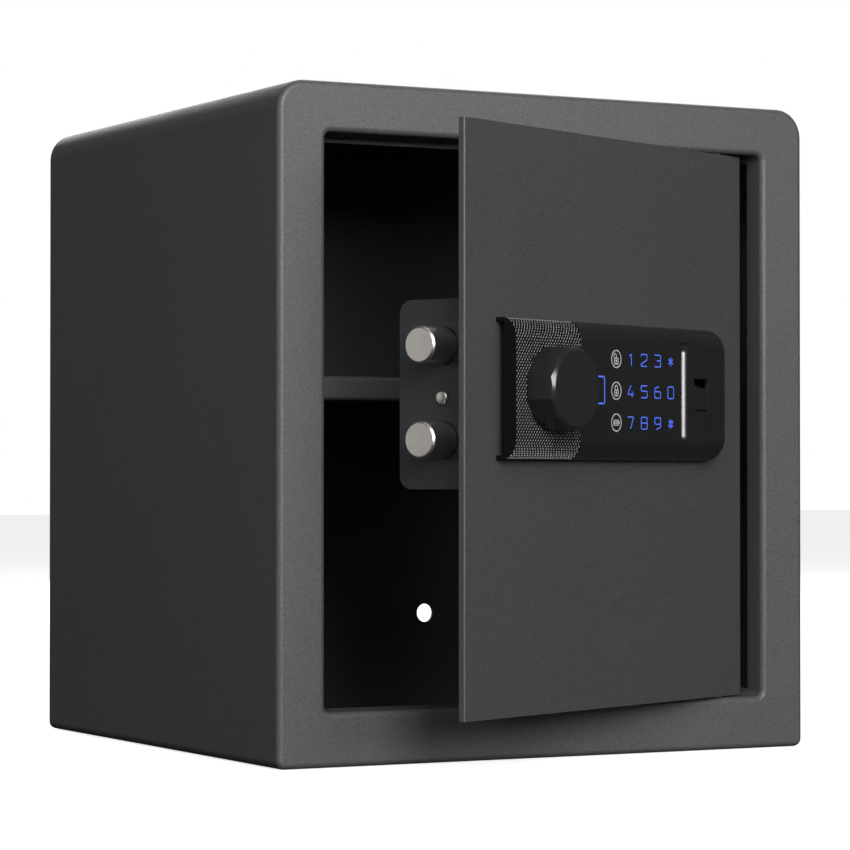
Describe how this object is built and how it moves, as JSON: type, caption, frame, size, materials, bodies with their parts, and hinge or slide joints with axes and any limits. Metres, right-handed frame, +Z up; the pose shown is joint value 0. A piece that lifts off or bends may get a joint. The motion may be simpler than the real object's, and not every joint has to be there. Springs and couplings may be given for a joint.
{
  "type": "electronic home safe",
  "caption": "Free-standing steel safe with a hinged door, electronic keypad lock, turn knob, sliding live bolts and one removable shelf.",
  "frame": {"origin": "centre of the body's underside, on the surface the safe stands on", "axes": "+Z up, -Y out of the front opening, +X to the right when facing the door; the door hinges on the right-hand side and is at rest part open"},
  "size_m": [0.365, 0.4852, 0.4],
  "materials": {
    "body_paint": "fine textured dark grey powder coat",
    "door_paint": "fine textured dark grey powder coat",
    "case_paint": "satin dark grey powder coat",
    "plated_steel": "zinc plated",
    "bolt_steel": "nickel plated, satin",
    "brass": "machined",
    "trim_metal": "satin chrome",
    "knob_plastic": "matte black moulded",
    "panel_plastic": "satin black moulded",
    "mesh_plastic": "black moulded diamond mesh texture",
    "inner_plastic": "moulded",
    "bush_plastic": "natural nylon",
    "circuit_board": "solder mask",
    "cell_wrap": "plain printed sleeve",
    "reset_red": "moulded"
  },
  "bodies": {
    "cabinet": {"body_shell": "body_paint", "back_panel": "body_paint", "door_stop_strip": "body_paint", "shelf": "body_paint", "shelf_bracket_left_front": "plated_steel", "shelf_bracket_left_rear": "plated_steel", "shelf_bracket_right_front": "plated_steel", "shelf_bracket_right_rear": "plated_steel", "hinge_bush_top": "brass", "hinge_bush_bottom": "brass"},
    "door": {"door_panel": "door_paint", "hinge_block_top": "plated_steel", "hinge_block_bottom": "plated_steel", "hinge_pin_top": "bolt_steel", "hinge_pin_bottom": "bolt_steel", "lock_case": "case_paint", "case_side_screw": "bolt_steel", "case_post_1": "plated_steel", "case_post_2": "plated_steel", "case_post_3": "plated_steel", "case_post_4": "plated_steel", "case_screw_1": "plated_steel", "case_screw_2": "plated_steel", "case_screw_3": "plated_steel", "case_screw_4": "plated_steel", "bolt_bush_upper": "bush_plastic", "bolt_bush_lower": "bush_plastic", "solenoid_body": "plated_steel", "circuit_board": "circuit_board", "battery_tray": "inner_plastic", "battery_1": "cell_wrap", "battery_2": "cell_wrap", "battery_3": "cell_wrap", "battery_4": "cell_wrap", "reset_switch": "inner_plastic", "mesh_cover": "mesh_plastic", "keypad_fascia": "panel_plastic", "panel_base": "inner_plastic", "keypad_board": "circuit_board", "trim_bar": "trim_metal", "key_cylinder": "brass"},
    "bolt_work": {"bolt_bar": "plated_steel", "live_bolt_upper": "bolt_steel", "live_bolt_lower": "bolt_steel", "bolt_nut_upper": "plated_steel", "bolt_nut_lower": "plated_steel"},
    "knob": {"knob": "knob_plastic", "knob_spindle": "plated_steel", "drive_cam": "plated_steel"},
    "plunger": {"solenoid_plunger": "bolt_steel", "plunger_spring": "bolt_steel"},
    "reset_button": {"reset_button": "reset_red"},
    "key_plug": {"key_plug": "brass"},
    "key_cover": {"key_cover": "panel_plastic"},
    "battery_cover": {"battery_cover": "inner_plastic"}
  },
  "joints": [
    {"name": "door_hinge", "type": "hinge", "parent": "cabinet", "child": "door", "pos_m": [0.1235, -0.172, 0.2], "axis": [0, 0, 1], "range_deg": [-24.91, 70.09]},
    {"name": "bolt_slide", "type": "slide", "parent": "door", "child": "bolt_work", "axis": [-0.907, -0.4212, 0], "range_m": [0, 0.01414]},
    {"name": "knob_turn", "type": "hinge", "parent": "door", "child": "knob", "pos_m": [-0.06444, -0.26644, 0.219], "axis": [0.4212, -0.907, 0], "range_deg": [0, 90]},
    {"name": "plunger_slide", "type": "slide", "parent": "door", "child": "plunger", "axis": [0, 0, -1], "range_m": [0, 0.005], "deforming": ["plunger_spring"]},
    {"name": "reset_press", "type": "slide", "parent": "door", "child": "reset_button", "axis": [0.4212, -0.907, 0], "range_m": [0, 0.0015], "stiffness_N_per_m": 400},
    {"name": "key_turn", "type": "hinge", "parent": "door", "child": "key_plug", "pos_m": [0.08009, -0.19933, 0.2162], "axis": [0.4212, -0.907, 0], "range_deg": [0, 90]},
    {"name": "key_cover_hinge", "type": "hinge", "parent": "door", "child": "key_cover", "pos_m": [0.08574, -0.21148, 0.2102], "axis": [0.907, 0.4212, 0], "range_deg": [0, 90]},
    {"name": "battery_cover_slide", "type": "slide", "parent": "door", "child": "battery_cover", "axis": [0, 0, -1], "range_m": [0, 0.02]}
  ],
  "couplings": [
    {"joint": "knob_turn", "follows": "bolt_slide", "rad_per_m": 111.07}
  ]
}
